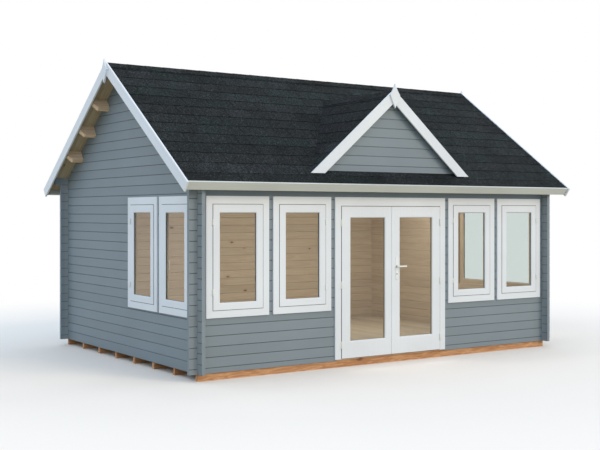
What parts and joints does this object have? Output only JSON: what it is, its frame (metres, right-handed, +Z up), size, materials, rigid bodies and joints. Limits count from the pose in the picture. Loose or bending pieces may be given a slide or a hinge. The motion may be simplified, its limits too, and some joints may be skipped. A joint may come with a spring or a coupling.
{
  "type": "log garden house",
  "caption": "Log-built garden house with a shingled saddle roof, a decorative gable over a glazed double door and tall casement windows; the door leaves and the lever move.",
  "frame": {"origin": "middle of the ground line: centre of the bounding box in plan, at the underside of the bearers", "axes": "X along the length, the door faces -Y, Z up"},
  "size_m": [5.828, 4.2766, 3.6728],
  "materials": {
    "grey_logs": "satin grey-blue paint outside, bare spruce inside",
    "bearer_wood": "rough sawn, pressure treated",
    "floor_wood": "planed boards",
    "roof_wood": "planed bare spruce",
    "shingle": "dark bitumen shingle with mineral grit",
    "white_edge": "satin white paint",
    "white_joinery": "satin white paint",
    "threshold_wood": "planed hardwood",
    "window_glass": "clear glazing",
    "white_fittings": "satin white enamel"
  },
  "bodies": {
    "house": {"door_head": "white_joinery", "door_hinges": "white_fittings", "door_jambs": "white_joinery", "door_threshold": "threshold_wood", "dormer_bargeboard_left": "white_edge", "dormer_bargeboard_right": "white_edge", "dormer_boards_left": "roof_wood", "dormer_boards_right": "roof_wood", "dormer_gable": "grey_logs", "dormer_shingles_left": "shingle", "dormer_shingles_right": "shingle", "fascias": "white_edge", "finials": "white_edge", "floor": "floor_wood", "floor_bearers": "bearer_wood", "front_bargeboards": "white_edge", "front_wall_left": "grey_logs", "front_wall_piers": "grey_logs", "front_wall_right": "grey_logs", "front_wall_top": "grey_logs", "left_gable": "grey_logs", "left_wall_lower": "grey_logs", "left_wall_piers": "grey_logs", "purlins": "roof_wood", "rear_bargeboards": "white_edge", "rear_wall": "grey_logs", "ridge_caps": "shingle", "right_gable": "grey_logs", "right_wall_lower": "grey_logs", "right_wall_piers": "grey_logs", "roof_boards_front": "roof_wood", "roof_boards_rear": "roof_wood", "roof_shingles_front": "shingle", "roof_shingles_rear": "shingle", "window_handles": "white_fittings", "window_heads": "white_joinery", "window_hinges": "white_fittings", "window_jambs": "white_joinery", "window_panes": "window_glass", "window_rails": "white_joinery", "window_sills": "white_joinery", "window_stiles": "white_joinery"},
    "left_leaf": {"left_door_leaf": "white_joinery", "left_door_pane": "window_glass"},
    "right_leaf": {"right_door_leaf": "white_joinery", "right_door_pane": "window_glass", "lock_plates": "white_fittings"},
    "lever": {"door_lever": "white_fittings"}
  },
  "joints": [
    {"name": "left_leaf_hinge", "type": "hinge", "parent": "house", "child": "left_leaf", "pos_m": [-0.7595, -1.9323, 1], "axis": [0, 0, -1], "range_deg": [0, 110]},
    {"name": "right_leaf_hinge", "type": "hinge", "parent": "house", "child": "right_leaf", "pos_m": [0.7595, -1.9323, 1], "axis": [0, 0, 1], "range_deg": [0, 110]},
    {"name": "lever_turn", "type": "hinge", "parent": "right_leaf", "child": "lever", "pos_m": [0.061, -1.902, 1.16], "axis": [0, 1, 0], "range_deg": [0, 40], "stiffness_Nm_per_rad": 1.2}
  ]
}
